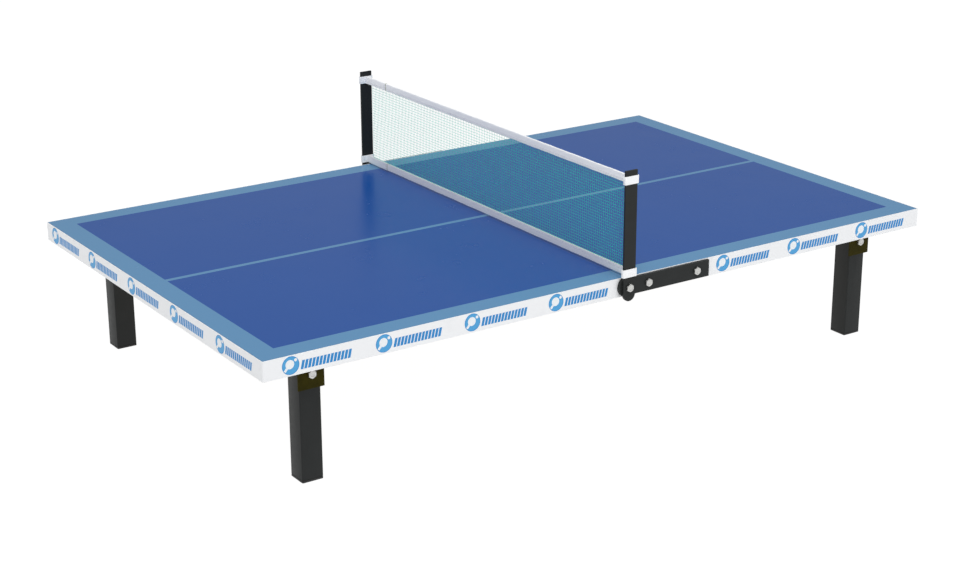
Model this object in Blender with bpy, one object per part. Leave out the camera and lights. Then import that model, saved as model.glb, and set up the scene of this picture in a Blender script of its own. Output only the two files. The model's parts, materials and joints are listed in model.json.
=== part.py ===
"""Table-top ping pong table: two hinged half boards, four folding legs and a folding net.

Metres, +Z up, +X along the table. The origin is on the floor under the middle of the table.
"""

import math

import bmesh
import bpy
from mathutils import Matrix, Vector

MM = 0.001
GAP = 0.3 * MM  # left between any two pieces that touch

# The playing surface
LENGTH, WIDTH, TOP_Z = 900 * MM, 550 * MM, 158 * MM
BOARD_T, BAND_T = 22 * MM, 1.0 * MM
UNDER_Z = TOP_Z - BOARD_T

# The hinge under the seam between the halves
HINGE_LENGTH, LEAF_WIDTH, LEAF_T = 360 * MM, 24 * MM, 1.0 * MM
KNUCKLE_R, PIN_R, KNUCKLES = 2.2 * MM, 1.2 * MM, 9
HINGE_Z = UNDER_Z - GAP - 2.5 * MM
HINGE_SCREWS_Y = (-150 * MM, 0.0, 150 * MM)

# The legs and their brackets
LEG_X, LEG_Y, LEG_SIZE, LEG_WALL, TUBE_CORNER = 381 * MM, 231.5 * MM, 25 * MM, 1.5 * MM, 1.5 * MM
SHEET_T, BRACKET_WIDTH, BRACKET_PLAY = 1.6 * MM, 30.8 * MM, 1.7 * MM
OUTER_CHEEK, INNER_CHEEK = 31.4 * MM, 24 * MM
BRACKET_OUT = LEG_SIZE / 2 + BRACKET_PLAY + SHEET_T
LEG_PIVOT_Z = UNDER_Z - 14.8 * MM
FOOT_FLANGE, FOOT_PLUG = 2.5 * MM, 14 * MM

# The net, its posts and the arms that carry them
ARM_LENGTH, ARM_HEIGHT, ARM_T, ARM_EYE_R = 115.8 * MM, 19.4 * MM, 3.5 * MM, 12 * MM
POST_WIDTH, POST_T, POST_RISE, POST_TAIL = 16 * MM, 2.5 * MM, 123.3 * MM, 7.8 * MM
NET_PIVOT_Z = TOP_Z - 10.5 * MM
ARM_BOLTS_X = (28.6 * MM, 97.6 * MM)
TAPE_T, TAPE_WALL, LOOP_PLAY = 2.4 * MM, 0.7 * MM, 0.8 * MM
BOTTOM_TAPE = (TOP_Z + 1.8 * MM, TOP_Z + 11.0 * MM)
TOP_TAPE = (TOP_Z + 108.0 * MM, TOP_Z + 117.2 * MM)
MESH_T, MESH_FRONT_Y, MESH_BACK_Y = 1.0 * MM, -268 * MM, 264 * MM

# Fasteners
BOLT_R, HEX_FLATS, ARM_HEAD, LEG_HEAD = 2.5 * MM, 8.4 * MM, 2.3 * MM, 3.4 * MM
SCREW_R, SCREW_HEAD_R, SCREW_LENGTH = 1.75 * MM, 3.3 * MM, 13 * MM
CLEARANCE = 0.3 * MM
ROUND = 24  # sides of a round piece

ARM_Y = WIDTH / 2 + GAP
POST_Y = ARM_Y + ARM_T + GAP
HEAD_Y = POST_Y + POST_T + GAP


# ---- scene -------------------------------------------------------------------------------

for old in list(bpy.data.objects):
    bpy.data.objects.remove(old, do_unlink=True)

table = bpy.data.collections.new("ping_pong_table")
cutters = bpy.data.collections.new("cutters")
for group in (table, cutters):
    bpy.context.scene.collection.children.link(group)

FINISHES = {  # colour, roughness, metallic
    "playing_surface": ((0.056, 0.119, 0.337), 0.35, 0.0),
    "edge_band": ((0.84, 0.85, 0.87), 0.4, 0.0),
    "black_steel": ((0.028, 0.030, 0.029), 0.42, 0.6),
    "olive_steel": ((0.030, 0.026, 0.004), 0.45, 0.6),
    "zinc": ((0.66, 0.65, 0.62), 0.35, 1.0),
    "foot_plastic": ((0.008, 0.008, 0.008), 0.5, 0.0),
    "net_tape": ((0.80, 0.80, 0.84), 0.85, 0.0),
    "net_mesh": ((0.06, 0.30, 0.30), 0.9, 0.0),
}


def make_material(name):
    colour, roughness, metallic = FINISHES[name]
    material = bpy.data.materials.new(name)
    material.use_nodes = True
    shader = material.node_tree.nodes["Principled BSDF"]
    shader.inputs["Base Color"].default_value = (*colour, 1)
    shader.inputs["Roughness"].default_value = roughness
    shader.inputs["Metallic"].default_value = metallic
    return material


MATERIALS = {name: make_material(name) for name in FINISHES}


# ---- modelling helpers -------------------------------------------------------------------


def add_empty(name, location, parent=None):
    """A joint axis or a group; its children are given in world coordinates."""
    empty = bpy.data.objects.new(name, None)
    empty.empty_display_size = 0.03
    table.objects.link(empty)
    if parent:
        empty.parent = parent
        empty.matrix_parent_inverse = Matrix.Translation(-Vector(parent["world"]))
    empty.location = location
    empty["world"] = location
    return empty


def add_object(name, mesh, material=None, parent=None):
    """A finished mesh in world coordinates, moved to its parent's axis; no material makes a cutter."""
    obj = bpy.data.objects.new(name, mesh)
    if material is None:
        cutters.objects.link(obj)
        obj.display_type = "WIRE"
        obj.hide_render = True
        return obj
    table.objects.link(obj)
    mesh.materials.append(MATERIALS[material])
    if parent:
        pivot = Vector(parent["world"])
        mesh.transform(Matrix.Translation(-pivot))
        obj.parent = parent
    return obj


def mesh_of(bm, name):
    mesh = bpy.data.meshes.new(name)
    bm.to_mesh(mesh)
    bm.free()
    return mesh


def block(name, low, high, corner=0.0, along="z"):
    """A box between two corners, with its four edges along one axis rounded."""
    low, high = Vector(low), Vector(high)
    bm = bmesh.new()
    size = Matrix.Diagonal((*(high - low), 1))
    bmesh.ops.create_cube(bm, size=1, matrix=Matrix.Translation((low + high) / 2) @ size)
    if corner:
        axis = "xyz".index(along)
        edges = [e for e in bm.edges if abs((e.verts[1].co - e.verts[0].co)[axis]) > 1e-6]
        bmesh.ops.bevel(bm, geom=edges, offset=corner, segments=3, profile=0.5, affect="EDGES")
    return mesh_of(bm, name)


def rod(name, start, end, radius, sides=ROUND):
    """A cylinder, or a prism with few sides, between two points."""
    start, end = Vector(start), Vector(end)
    facing = (end - start).to_track_quat("Z", "Y").to_matrix().to_4x4()
    place = Matrix.Translation((start + end) / 2) @ facing
    bm = bmesh.new()
    bmesh.ops.create_cone(
        bm,
        cap_ends=True,
        segments=sides,
        radius1=radius,
        radius2=radius,
        depth=(end - start).length,
        matrix=place,
    )
    return mesh_of(bm, name)


def outline_plate(name, points, y_low, y_high):
    """A flat plate standing in the XZ plane, cut to an outline of (x, z) points."""
    curve = bpy.data.curves.new(name, "CURVE")
    curve.dimensions = "2D"
    curve.fill_mode = "BOTH"
    curve.extrude = (y_high - y_low) / 2
    spline = curve.splines.new("POLY")
    spline.points.add(len(points) - 1)
    for point, (x, z) in zip(spline.points, points):
        point.co = (x, z, 0, 1)
    spline.use_cyclic_u = True
    drawn = bpy.data.objects.new(name, curve)
    table.objects.link(drawn)
    drawn.matrix_world = Matrix.Translation((0, (y_low + y_high) / 2, 0)) @ Matrix.Rotation(
        math.pi / 2, 4, "X"
    )
    bpy.context.view_layer.update()
    mesh = bpy.data.meshes.new_from_object(drawn.evaluated_get(bpy.context.evaluated_depsgraph_get()))
    mesh.transform(drawn.matrix_world)
    bpy.data.objects.remove(drawn)
    bpy.data.curves.remove(curve)
    bm = bmesh.new()
    bm.from_mesh(mesh)
    bmesh.ops.remove_doubles(bm, verts=bm.verts, dist=1e-6)
    bmesh.ops.recalc_face_normals(bm, faces=bm.faces)
    bm.to_mesh(mesh)
    bm.free()
    return mesh


def arc(centre, radius, start, end, steps):
    """Points (x, z) round a centre, from one angle to another in degrees, both ends included."""
    angles = (math.radians(start + (end - start) * i / steps) for i in range(steps + 1))
    return [(centre[0] + radius * math.cos(a), centre[1] + radius * math.sin(a)) for a in angles]


def joined(name, *meshes):
    """One mesh that holds several separate shapes, to cut or to add with."""
    bm = bmesh.new()
    for mesh in meshes:
        bm.from_mesh(mesh)
        bpy.data.meshes.remove(mesh)
    return mesh_of(bm, name)


def combine(obj, operation, mesh):
    """A Boolean with another shape, which is kept as a guide beside the table."""
    guide = add_object(f"{obj.name}_{operation.lower()}", mesh)
    if obj.parent:
        guide.parent = obj.parent
        mesh.transform(Matrix.Translation(-Vector(obj.parent["world"])))
    step = obj.modifiers.new(operation.title(), "BOOLEAN")
    step.operation = operation
    step.solver = "EXACT"
    step.object = guide


def smooth_round(obj):
    obj.data.shade_smooth()
    obj.data.set_sharp_from_angle(angle=math.radians(35))


# ---- fasteners ---------------------------------------------------------------------------


def hex_bolt(name, x, z, y_head, y_end, side, tall=ARM_HEAD, parent=None):
    """A hexagon head bolt along Y. Its head starts at y_head and grows outwards, on one side."""
    head = rod(
        name,
        (x, side * y_head, z),
        (x, side * (y_head + tall), z),
        HEX_FLATS / math.sqrt(3),
        sides=6,
    )
    bolt = add_object(name, head, "zinc", parent)
    shank = rod(name, (x, side * (y_head + 1 * MM), z), (x, side * y_end, z), BOLT_R)
    combine(bolt, "UNION", shank)


def lock_nut(name, x, z, y_face, side, parent=None):
    """A hexagon nut with a nylon collar. It starts at y_face and grows towards the table's middle."""
    collar_y, end_y = y_face - 4.6 * MM, y_face - 6.2 * MM
    body = rod(
        name,
        (x, side * y_face, z),
        (x, side * collar_y, z),
        HEX_FLATS / math.sqrt(3),
        sides=6,
    )
    nut = add_object(name, body, "zinc", parent)
    collar = rod(name, (x, side * (collar_y + 1 * MM), z), (x, side * end_y, z), 3.7 * MM)
    combine(nut, "UNION", collar)
    bore = rod(
        name,
        (x, side * (y_face + 1 * MM), z),
        (x, side * (end_y - 1 * MM), z),
        BOLT_R + CLEARANCE,
    )
    combine(nut, "DIFFERENCE", bore)


def wood_screw(name, x, y, z_head, head_t, parent=None):
    """A pan head screw driven up into a board, its head hanging under z_head."""
    head = add_object(name, rod(name, (x, y, z_head - head_t), (x, y, z_head), SCREW_HEAD_R), "zinc", parent)
    shank = rod(name, (x, y, z_head - head_t / 2), (x, y, z_head + SCREW_LENGTH), SCREW_R, sides=12)
    combine(head, "UNION", shank)


def screw_hole(x, y):
    """The hole that a wood screw leaves in a board's underside."""
    top = (x, y, UNDER_Z + SCREW_LENGTH)
    return rod("hole", (x, y, UNDER_Z - 1 * MM), top, SCREW_R + CLEARANCE, sides=12)


# ---- boards ------------------------------------------------------------------------------


def bracket_screws(side_x, side_y):
    """Where the two screws of one leg bracket stand."""
    return [(side_x * LEG_X + dx, side_y * LEG_Y) for dx in (-8 * MM, 8 * MM)]


def board_half(side, label, parent=None):
    """Half of the playing surface: its board, and the white band round its three outer sides."""
    inner, outer = GAP / 2, LENGTH / 2 - BAND_T - GAP
    half_y = WIDTH / 2 - BAND_T - GAP
    low_x, high_x = sorted((side * inner, side * outer))
    body = block(f"{label}_board", (low_x, -half_y, UNDER_Z), (high_x, half_y, TOP_Z))
    board = add_object(f"{label}_board", body, "playing_surface", parent)
    screws = [(side * LEAF_WIDTH * 0.62, y) for y in HINGE_SCREWS_Y]
    screws += [place for side_y in (-1, 1) for place in bracket_screws(side, side_y)]
    combine(board, "DIFFERENCE", joined("screw_holes", *(screw_hole(x, y) for x, y in screws)))

    low_x, high_x = sorted((side * inner, side * LENGTH / 2))
    ring = block(f"{label}_edge_band", (low_x, -WIDTH / 2, UNDER_Z), (high_x, WIDTH / 2, TOP_Z))
    band = add_object(f"{label}_edge_band", ring, "edge_band", parent)
    low_x, high_x = sorted((-side * 5 * MM, side * (LENGTH / 2 - BAND_T)))
    core_y = WIDTH / 2 - BAND_T
    core = block("core", (low_x, -core_y, UNDER_Z - 5 * MM), (high_x, core_y, TOP_Z + 5 * MM))
    combine(band, "DIFFERENCE", core)
    return board, band


def drill_for_arm_bolts(board, band):
    """The holes in the right half's long sides that hold the bolts of the net arms."""
    for obj in (board, band):
        holes = [
            rod(
                "hole",
                (x, side * (WIDTH / 2 - 30 * MM), NET_PIVOT_Z),
                (x, side * (WIDTH / 2 + 1 * MM), NET_PIVOT_Z),
                BOLT_R + CLEARANCE,
            )
            for side in (-1, 1)
            for x in ARM_BOLTS_X
        ]
        combine(obj, "DIFFERENCE", joined("bolt_holes", *holes))


# ---- hinge under the seam ----------------------------------------------------------------


def hinge_leaf(side, label, parent=None):
    """One leaf of the continuous hinge: a strip, with every second knuckle round the pin."""
    leaf_top, leaf_bottom = UNDER_Z - GAP, UNDER_Z - GAP - LEAF_T
    clear_x = KNUCKLE_R + 0.4 * MM
    inset = 0.1 * MM  # keeps the arms' faces off the strip's, which the union needs
    low_x, high_x = sorted((side * clear_x, side * LEAF_WIDTH))
    strip = block(
        f"hinge_{label}_leaf",
        (low_x, -HINGE_LENGTH / 2, leaf_bottom),
        (high_x, HINGE_LENGTH / 2, leaf_top),
    )
    leaf = add_object(f"hinge_{label}_leaf", strip, "zinc", parent)
    pitch = HINGE_LENGTH / KNUCKLES
    arms, tubes = [], []
    for k in range(0 if side > 0 else 1, KNUCKLES, 2):
        y_low = -HINGE_LENGTH / 2 + k * pitch + GAP / 2
        y_high = y_low + pitch - GAP
        low_x, high_x = sorted((0, side * (clear_x + 1 * MM)))
        arms.append(block("arm", (low_x, y_low, leaf_bottom + inset), (high_x, y_high, leaf_top - inset)))
        tubes.append(rod("tube", (0, y_low, HINGE_Z), (0, y_high, HINGE_Z), KNUCKLE_R, sides=16))
    combine(leaf, "UNION", joined("knuckle_arms", *arms))
    combine(leaf, "UNION", joined("knuckle_tubes", *tubes))
    ends = [(0, end * (HINGE_LENGTH / 2 + 5 * MM), HINGE_Z) for end in (-1, 1)]
    combine(leaf, "DIFFERENCE", rod("pin_bore", *ends, PIN_R + CLEARANCE, sides=16))
    holes = [
        rod(
            "hole",
            (side * LEAF_WIDTH * 0.62, y, leaf_bottom - 1 * MM),
            (side * LEAF_WIDTH * 0.62, y, leaf_top + 1 * MM),
            SCREW_R + CLEARANCE,
            sides=12,
        )
        for y in HINGE_SCREWS_Y
    ]
    combine(leaf, "DIFFERENCE", joined("screw_holes", *holes))
    for number, y in enumerate(HINGE_SCREWS_Y, 1):
        head_z = leaf_bottom - GAP
        wood_screw(f"hinge_{label}_screw_{number}", side * LEAF_WIDTH * 0.62, y, head_z, 1.6 * MM, parent)


# ---- legs --------------------------------------------------------------------------------


def leg_bracket(name, side_x, side_y, parent):
    """A folded steel channel under the board. The leg turns between its cheeks; the inner one is shorter."""
    x, y = side_x * LEG_X, side_y * LEG_Y
    half_in = BRACKET_OUT - SHEET_T
    web_top, bottom = UNDER_Z - GAP, UNDER_Z - OUTER_CHEEK
    shell = block(
        name,
        (x - BRACKET_WIDTH / 2, y - BRACKET_OUT, bottom),
        (x + BRACKET_WIDTH / 2, y + BRACKET_OUT, web_top),
    )
    bracket = add_object(name, shell, "olive_steel", parent)
    channel = block(
        "channel",
        (x - BRACKET_WIDTH, y - half_in, bottom - 5 * MM),
        (x + BRACKET_WIDTH, y + half_in, web_top - SHEET_T),
    )
    y_low, y_high = sorted((y, y - side_y * (BRACKET_OUT + 5 * MM)))
    trim = block(
        "trim", (x - BRACKET_WIDTH, y_low, bottom - 5 * MM), (x + BRACKET_WIDTH, y_high, UNDER_Z - INNER_CHEEK)
    )
    bore = rod("bore", (x, y - 30 * MM, LEG_PIVOT_Z), (x, y + 30 * MM, LEG_PIVOT_Z), BOLT_R + CLEARANCE)
    combine(bracket, "DIFFERENCE", channel)
    combine(bracket, "DIFFERENCE", trim)
    combine(bracket, "DIFFERENCE", bore)
    holes = [
        rod("hole", (sx, sy, web_top - 5 * MM), (sx, sy, web_top + 5 * MM), SCREW_HEAD_R + CLEARANCE)
        for sx, sy in bracket_screws(side_x, side_y)
    ]
    combine(bracket, "DIFFERENCE", joined("screw_holes", *holes))


def leg_tube(name, side_x, side_y, pivot):
    """A square tube. Its inner top corner is round about the pivot, so that it can swing inwards."""
    x, y, half = side_x * LEG_X, side_y * LEG_Y, LEG_SIZE / 2
    top_z = LEG_PIVOT_Z + half
    bottom_z = FOOT_FLANGE + GAP
    outside = block(name, (x - half, y - half, bottom_z), (x + half, y + half, top_z), corner=TUBE_CORNER)
    tube = add_object(name, outside, "black_steel", pivot)
    bore = half - LEG_WALL
    inside = block(
        "inside",
        (x - bore, y - bore, bottom_z - 5 * MM),
        (x + bore, y + bore, top_z + 5 * MM),
        corner=1 * MM,
    )
    combine(tube, "DIFFERENCE", inside)
    start, end = (90, 0) if side_x < 0 else (90, 180)
    reach = half + 3 * MM
    corner = arc((x, LEG_PIVOT_Z), half, start, end, 12)
    corner += [
        (x - side_x * reach, LEG_PIVOT_Z),
        (x - side_x * reach, LEG_PIVOT_Z + reach),
        (x, LEG_PIVOT_Z + reach),
    ]
    combine(tube, "DIFFERENCE", outline_plate("corner", corner, y - 20 * MM, y + 20 * MM))
    bolt_bore = rod(
        "bore", (x, y - 30 * MM, LEG_PIVOT_Z), (x, y + 30 * MM, LEG_PIVOT_Z), BOLT_R + CLEARANCE
    )
    combine(tube, "DIFFERENCE", bolt_bore)


def foot_cap(name, side_x, side_y, pivot):
    """A plastic foot: a flange that the table stands on, and a plug inside the tube."""
    x, y, half = side_x * LEG_X, side_y * LEG_Y, LEG_SIZE / 2
    flange = block(name, (x - half, y - half, 0), (x + half, y + half, FOOT_FLANGE), corner=TUBE_CORNER)
    cap = add_object(name, flange, "foot_plastic", pivot)
    plug = half - LEG_WALL - GAP
    stem = block("plug", (x - plug, y - plug, 1 * MM), (x + plug, y + plug, FOOT_PLUG), corner=1 * MM)
    combine(cap, "UNION", stem)


def leg(side_x, side_y, parent):
    """A whole leg. The tube and its foot turn about the pivot, and the rest stays on the board."""
    label = f"{'front' if side_y < 0 else 'back'}_{'left' if side_x < 0 else 'right'}"
    pivot = add_empty(f"{label}_leg_axis", (side_x * LEG_X, side_y * LEG_Y, LEG_PIVOT_Z), parent)
    leg_tube(f"{label}_leg_tube", side_x, side_y, pivot)
    foot_cap(f"{label}_foot_cap", side_x, side_y, pivot)
    leg_bracket(f"{label}_leg_bracket", side_x, side_y, parent)
    cheek_out, cheek_in = LEG_Y + BRACKET_OUT, LEG_Y - BRACKET_OUT
    x = side_x * LEG_X
    nut_end = cheek_in - GAP - 7 * MM
    hex_bolt(f"{label}_leg_bolt", x, LEG_PIVOT_Z, cheek_out + GAP, nut_end, side_y, LEG_HEAD, parent)
    lock_nut(f"{label}_leg_nut", x, LEG_PIVOT_Z, cheek_in - GAP, side_y, parent)
    for number, (sx, sy) in enumerate(bracket_screws(side_x, side_y), 1):
        wood_screw(f"{label}_bracket_screw_{number}", sx, sy, UNDER_Z - GAP, SHEET_T, parent)


# ---- net ---------------------------------------------------------------------------------


def net_arm(side, label):
    """A flat steel arm on the right half's long side, with a round eye over the seam."""
    y_low, y_high = sorted((side * ARM_Y, side * (ARM_Y + ARM_T)))
    half = ARM_HEIGHT / 2
    lean = math.degrees(math.asin(half / ARM_EYE_R))
    edge = arc((0, NET_PIVOT_Z), ARM_EYE_R, lean, 360 - lean, 28)
    edge += [(ARM_LENGTH, NET_PIVOT_Z - half), (ARM_LENGTH, NET_PIVOT_Z + half)]
    arm = add_object(f"net_arm_{label}", outline_plate("arm", edge, y_low, y_high), "black_steel")
    holes = [
        rod(
            "hole",
            (x, side * (ARM_Y - 2 * MM), NET_PIVOT_Z),
            (x, side * (POST_Y + 2 * MM), NET_PIVOT_Z),
            BOLT_R + CLEARANCE,
        )
        for x in (0, *ARM_BOLTS_X)
    ]
    combine(arm, "DIFFERENCE", joined("bolt_holes", *holes))
    for number, x in enumerate(ARM_BOLTS_X, 1):
        hex_bolt(f"net_arm_bolt_{label}_{number}", x, NET_PIVOT_Z, POST_Y, WIDTH / 2 - 29 * MM, side)
    hex_bolt(f"net_pivot_bolt_{label}", 0, NET_PIVOT_Z, HEAD_Y, ARM_Y, side)


def net_post(side, label, pivot):
    """A flat steel post outside the arm. It turns on its bolt, and is round at its lower end."""
    y_low, y_high = sorted((side * POST_Y, side * (POST_Y + POST_T)))
    half = POST_WIDTH / 2
    edge = arc((0, NET_PIVOT_Z - POST_TAIL), half, 180, 360, 16)
    edge += [(half, TOP_Z + POST_RISE), (-half, TOP_Z + POST_RISE)]
    post = add_object(f"net_post_{label}", outline_plate("post", edge, y_low, y_high), "black_steel", pivot)
    ends = [(0, side * (POST_Y + reach), NET_PIVOT_Z) for reach in (-2 * MM, POST_T + 2 * MM)]
    combine(post, "DIFFERENCE", rod("hole", *ends, BOLT_R + CLEARANCE))


def tape_loop(name, side, z_range, pivot):
    """The end of a net tape, sewn into a loop round a post."""
    inner_x = POST_WIDTH / 2 + LOOP_PLAY
    outer_x = inner_x + TAPE_WALL
    inside = (POST_Y - GAP, POST_Y + POST_T + GAP)
    outside = (inside[0] - TAPE_WALL, inside[1] + TAPE_WALL)
    y_low, y_high = sorted(side * y for y in outside)
    band = block(name, (-outer_x, y_low, z_range[0]), (outer_x, y_high, z_range[1]))
    loop = add_object(name, band, "net_tape", pivot)
    y_low, y_high = sorted(side * y for y in inside)
    hollow = block(
        "hollow", (-inner_x, y_low, z_range[0] - 5 * MM), (inner_x, y_high, z_range[1] + 5 * MM)
    )
    combine(loop, "DIFFERENCE", hollow)


def net(pivot, fabric):
    """Both posts turn together; the mesh and its tapes hang between them."""
    for side, label in ((-1, "front"), (1, "back")):
        net_arm(side, label)
        net_post(side, label, pivot)
        tape_loop(f"top_tape_loop_{label}", side, TOP_TAPE, pivot)
        tape_loop(f"bottom_tape_loop_{label}", side, BOTTOM_TAPE, pivot)
    reach = POST_Y - GAP - TAPE_WALL - GAP
    tape_ends, mesh_ends = (-reach, reach), (MESH_FRONT_Y, MESH_BACK_Y)
    mesh_z = (BOTTOM_TAPE[1] + GAP, TOP_TAPE[0] - GAP)
    sheets = (
        ("net_top_tape", TAPE_T, tape_ends, TOP_TAPE, "net_tape"),
        ("net_bottom_tape", TAPE_T, tape_ends, BOTTOM_TAPE, "net_tape"),
        ("net_mesh", MESH_T, mesh_ends, mesh_z, "net_mesh"),
    )
    for name, thick, (y_low, y_high), (z_low, z_high), finish in sheets:
        sheet = block(name, (-thick / 2, y_low, z_low), (thick / 2, y_high, z_high))
        add_object(name, sheet, finish, fabric)


# ---- the table ---------------------------------------------------------------------------

left_half = add_empty("left_half_axis", (0, 0, HINGE_Z))
right_half = add_empty("right_half", (0, 0, 0))
drill_for_arm_bolts(*board_half(1, "right", right_half))
board_half(-1, "left", left_half)
hinge_leaf(1, "right", right_half)
hinge_leaf(-1, "left", left_half)
pin_ends = [(0, end * HINGE_LENGTH / 2, HINGE_Z) for end in (-1, 1)]
add_object("hinge_pin", rod("hinge_pin", *pin_ends, PIN_R, sides=16), "zinc", right_half)
for half, side_x in ((left_half, -1), (right_half, 1)):
    for side_y in (-1, 1):
        leg(side_x, side_y, half)
net_axis = add_empty("net_axis", (0, 0, NET_PIVOT_Z))
net_fabric = add_empty("net_fabric", (0, 0, NET_PIVOT_Z), net_axis)
net(net_axis, net_fabric)
for piece in table.objects:
    if piece.type == "MESH":
        smooth_round(piece)
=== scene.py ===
"""The looks of a folding table-top ping pong table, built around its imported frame.

Lengths are in metres, in the frame's own axes: +X along the table, +Z up, the floor at z = 0.
"""

import json
import math

import bmesh
import bpy
import numpy as np
from mathutils import Matrix, Vector


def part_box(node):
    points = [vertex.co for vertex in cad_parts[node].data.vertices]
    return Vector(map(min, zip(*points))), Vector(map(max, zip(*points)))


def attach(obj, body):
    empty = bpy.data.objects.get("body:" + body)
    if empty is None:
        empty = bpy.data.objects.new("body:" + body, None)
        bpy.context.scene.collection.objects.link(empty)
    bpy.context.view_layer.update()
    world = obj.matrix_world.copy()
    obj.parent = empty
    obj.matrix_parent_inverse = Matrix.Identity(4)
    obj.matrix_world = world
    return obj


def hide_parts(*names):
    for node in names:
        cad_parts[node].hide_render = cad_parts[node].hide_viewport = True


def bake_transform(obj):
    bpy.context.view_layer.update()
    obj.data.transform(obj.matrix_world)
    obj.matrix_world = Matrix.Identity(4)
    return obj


MM = 0.001

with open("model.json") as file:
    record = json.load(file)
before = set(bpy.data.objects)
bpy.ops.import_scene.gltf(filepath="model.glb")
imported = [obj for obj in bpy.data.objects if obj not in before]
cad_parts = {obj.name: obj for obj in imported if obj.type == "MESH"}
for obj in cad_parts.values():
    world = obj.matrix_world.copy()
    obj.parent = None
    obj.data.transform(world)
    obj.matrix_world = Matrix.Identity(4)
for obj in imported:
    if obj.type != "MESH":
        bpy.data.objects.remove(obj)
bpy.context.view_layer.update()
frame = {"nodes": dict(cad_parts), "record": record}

scene = bpy.context.scene
scene.view_settings.view_transform = "Standard"

# ---- sizes read from the frame -----------------------------------------------------------

board_low, board_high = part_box("right_board")
band_low, band_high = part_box("right_edge_band")
TOP, UNDER = board_high.z, board_low.z
HALF_X, HALF_Y, SEAM = band_high.x, band_high.y, band_low.x
CORE_Y = board_high.y
BAND_T = 1.0 * MM


# ---- materials ---------------------------------------------------------------------------


class Finish:
    """A Principled material whose nodes are added one at a time."""

    def __init__(self, name, colour, roughness, metallic=0.0):
        self.material = bpy.data.materials.new(name)
        self.material.use_nodes = True
        self.material.diffuse_color = (*colour, 1)
        self.tree = self.material.node_tree
        self.shader = self.tree.nodes["Principled BSDF"]
        self.set("Base Color", (*colour, 1))
        self.set("Roughness", roughness)
        self.set("Metallic", metallic)
        self.coordinates = self.tree.nodes.new("ShaderNodeTexCoord").outputs["Object"]
        self.relief = None

    def set(self, socket, value):
        """Gives one of the shader's sockets a constant value."""
        self.shader.inputs[socket].default_value = value

    def link(self, output, socket):
        """Feeds one of the shader's sockets from another node."""
        self.tree.links.new(output, self.shader.inputs[socket])

    def node(self, kind, **inputs):
        """A new node. Each input, with _ for a space, takes a number or another node's output."""
        node = self.tree.nodes.new(kind)
        for name, value in inputs.items():
            socket = node.inputs[name.replace("_", " ")]
            if isinstance(value, bpy.types.NodeSocket):
                self.tree.links.new(value, socket)
            else:
                socket.default_value = value
        return node

    def stretched(self, scale):
        """The object's coordinates, scaled along each axis."""
        return self.node("ShaderNodeMapping", Vector=self.coordinates, Scale=scale).outputs["Vector"]

    def noise(self, scale, detail=3.0, roughness=0.5, vector=None):
        """Clouds from 0 to 1, so many to the metre."""
        clouds = self.node(
            "ShaderNodeTexNoise",
            Vector=vector or self.coordinates,
            Scale=scale,
            Detail=detail,
            Roughness=roughness,
        )
        return clouds.outputs["Fac"]

    def cells(self, scale):
        """The distance to the middle of the nearest cell, with so many cells to the metre."""
        return self.node("ShaderNodeTexVoronoi", Vector=self.coordinates, Scale=scale).outputs["Distance"]

    def waves(self, scale, direction, distortion):
        """Parallel ribs from 0 to 1 across one axis."""
        ribs = self.node(
            "ShaderNodeTexWave", Vector=self.coordinates, Scale=scale, Distortion=distortion
        )
        ribs.bands_direction = direction
        return ribs.outputs["Fac"]

    def ramp(self, factor, low, high):
        """A factor stretched from 0 at low to 1 at high, and held outside them."""
        return self.node("ShaderNodeMapRange", Value=factor, From_Min=low, From_Max=high).outputs["Result"]

    def maths(self, operation, a, b):
        """A sum or product of two factors, or of a factor and a number."""
        node = self.tree.nodes.new("ShaderNodeMath")
        node.operation = operation
        for socket, value in zip(node.inputs, (a, b)):
            if isinstance(value, (int, float)):
                socket.default_value = value
            else:
                self.tree.links.new(value, socket)
        return node.outputs["Value"]

    def colours(self, factor, low, high):
        """The base colour runs from low to high with the factor."""
        node = self.tree.nodes.new("ShaderNodeMix")
        node.data_type = "RGBA"
        node.inputs["A"].default_value = (*low, 1)
        node.inputs["B"].default_value = (*high, 1)
        self.tree.links.new(factor, node.inputs["Factor"])
        self.link(node.outputs["Result"], "Base Color")

    def roughnesses(self, factor, low, high):
        """The roughness runs from low to high with the factor."""
        node = self.node("ShaderNodeMapRange", Value=factor, To_Min=low, To_Max=high)
        self.link(node.outputs["Result"], "Roughness")

    def bump(self, height, distance, strength):
        """Adds a layer of relief, its depth in metres, on top of the layers added before."""
        node = self.node("ShaderNodeBump", Height=height, Distance=distance, Strength=strength)
        if self.relief:
            self.tree.links.new(self.relief, node.inputs["Normal"])
        self.relief = node.outputs["Normal"]
        self.link(self.relief, "Normal")


def srgb(red, green, blue):
    """A colour given in 0 to 255 as displayed, as linear values."""
    parts = (c / 255 for c in (red, green, blue))
    return tuple(c / 12.92 if c <= 0.04045 else ((c + 0.055) / 1.055) ** 2.4 for c in parts)


def shade(colour, times):
    """A colour made darker, or lighter, by a factor."""
    return tuple(c * times for c in colour)


def court_paint(name, colour):
    """Rolled semi-gloss paint: a fine orange peel, and dull smudges where balls and hands touch it."""
    paint = Finish(name, colour, roughness=0.3)
    cloud = paint.noise(scale=5, detail=4, roughness=0.6)
    paint.colours(paint.ramp(cloud, 0.3, 0.7), shade(colour, 0.985), shade(colour, 1.015))
    smudge = paint.ramp(paint.noise(scale=22, detail=6, roughness=0.65), 0.38, 0.75)
    grain = paint.noise(scale=120, detail=3)
    worn = paint.maths("ADD", paint.maths("MULTIPLY", smudge, 0.6), paint.maths("MULTIPLY", grain, 0.4))
    paint.roughnesses(worn, 0.22, 0.3)
    paint.bump(paint.noise(scale=240, detail=2), distance=0.01 * MM, strength=0.1)
    paint.set("Specular IOR Level", 0.21)
    return paint.material


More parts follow.
